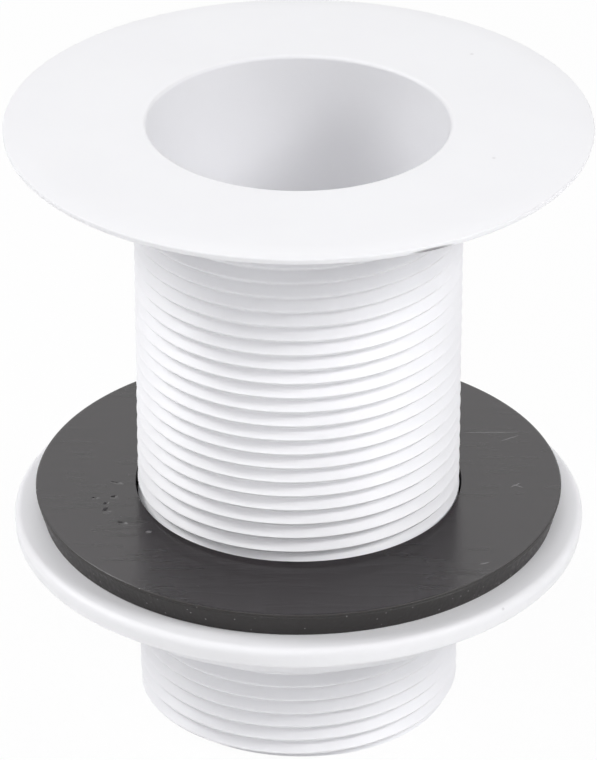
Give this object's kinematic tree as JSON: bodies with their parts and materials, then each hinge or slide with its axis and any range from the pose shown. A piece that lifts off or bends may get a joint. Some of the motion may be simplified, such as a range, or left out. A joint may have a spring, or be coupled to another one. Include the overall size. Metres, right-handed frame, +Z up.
{
  "type": "sink waste",
  "caption": "Plastic sink waste: wide flat flange, tapered mouth, open bore and long threaded tail, with a flanged hexagonal back nut and a flat rubber washer.",
  "frame": {"origin": "centre of the tail's end, on the surface that the waste stands on", "axes": "+Z up the waste's axis towards the flange; -Y towards the camera of the picture"},
  "size_m": [0.085, 0.085, 0.0936],
  "materials": {
    "white_plastic": "satin white",
    "black_rubber": "matt black, cut edges"
  },
  "bodies": {
    "waste_body": {"waste_body": "white_plastic"},
    "rubber_washer": {"rubber_washer": "black_rubber"},
    "back_nut": {"back_nut": "white_plastic"}
  },
  "joints": [
    {"name": "nut_travel", "type": "slide", "parent": "waste_body", "child": "rubber_washer", "axis": [0, 0, 1], "range_m": [-0.0185, 0.0555]},
    {"name": "nut_turn", "type": "hinge", "parent": "rubber_washer", "child": "back_nut", "pos_m": [0, 0, 0.0306], "axis": [0, 0, 1], "range_deg": [-2880, 8640]}
  ],
  "couplings": [
    {"joint": "nut_travel", "follows": "nut_turn", "m_per_rad": 0.00036749}
  ]
}
